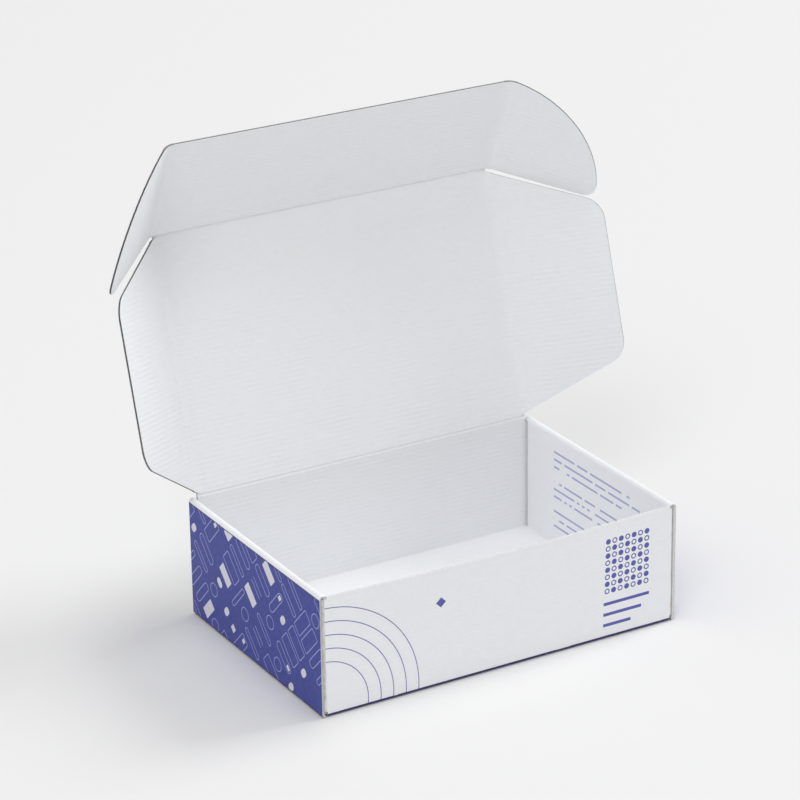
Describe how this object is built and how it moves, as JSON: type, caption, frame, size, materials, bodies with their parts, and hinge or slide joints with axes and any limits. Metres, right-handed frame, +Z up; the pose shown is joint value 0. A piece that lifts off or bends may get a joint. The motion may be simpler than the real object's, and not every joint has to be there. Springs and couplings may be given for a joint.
{
  "type": "corrugated mailer box",
  "caption": "Shallow white corrugated mailer box standing open: a tray with double rolled side walls and a leaning lid with side flaps and a tuck-in front flap with ears.",
  "frame": {"origin": "middle of the tray's underside, between the outer faces of its four walls", "axes": "+X along the front wall towards the right, +Y from the front wall to the back wall, +Z up"},
  "size_m": [0.3594, 0.2226, 0.3147],
  "materials": {
    "tray_board": "white lined corrugated board, matt; blue print outside",
    "lid_board": "white lined corrugated board, matt",
    "flap_board": "white lined corrugated board, matt"
  },
  "bodies": {
    "tray": {"tray": "tray_board"},
    "lid": {"lid_panel": "lid_board"},
    "side_flap_left": {"side_flap_left": "lid_board"},
    "side_flap_right": {"side_flap_right": "lid_board"},
    "front_flap": {"front_flap": "flap_board"},
    "ear_left": {"ear_left": "flap_board"},
    "ear_right": {"ear_right": "flap_board"}
  },
  "joints": [
    {"name": "lid_crease", "type": "hinge", "parent": "tray", "child": "lid", "pos_m": [0, 0.08575, 0.08275], "axis": [-1, 0, 0], "range_deg": [-65, 73]},
    {"name": "side_flap_left_crease", "type": "hinge", "parent": "lid", "child": "side_flap_left", "pos_m": [-0.12435, 0.08575, 0.08275], "axis": [0, 0.2924, 0.9563], "range_deg": [-44, 46]},
    {"name": "side_flap_right_crease", "type": "hinge", "parent": "lid", "child": "side_flap_right", "pos_m": [0.12435, 0.08575, 0.08275], "axis": [0, -0.2924, -0.9563], "range_deg": [-44, 46]},
    {"name": "front_flap_crease", "type": "hinge", "parent": "lid", "child": "front_flap", "pos_m": [0, 0.13534, 0.24494], "axis": [1, 0, 0], "range_deg": [-41, 22]},
    {"name": "ear_left_crease", "type": "hinge", "parent": "front_flap", "child": "ear_left", "pos_m": [-0.12605, 0.13534, 0.24494], "axis": [0, -0.4067, 0.9135], "range_deg": [-44, 4]},
    {"name": "ear_right_crease", "type": "hinge", "parent": "front_flap", "child": "ear_right", "pos_m": [0.12605, 0.13534, 0.24494], "axis": [0, 0.4067, -0.9135], "range_deg": [-44, 4]}
  ]
}
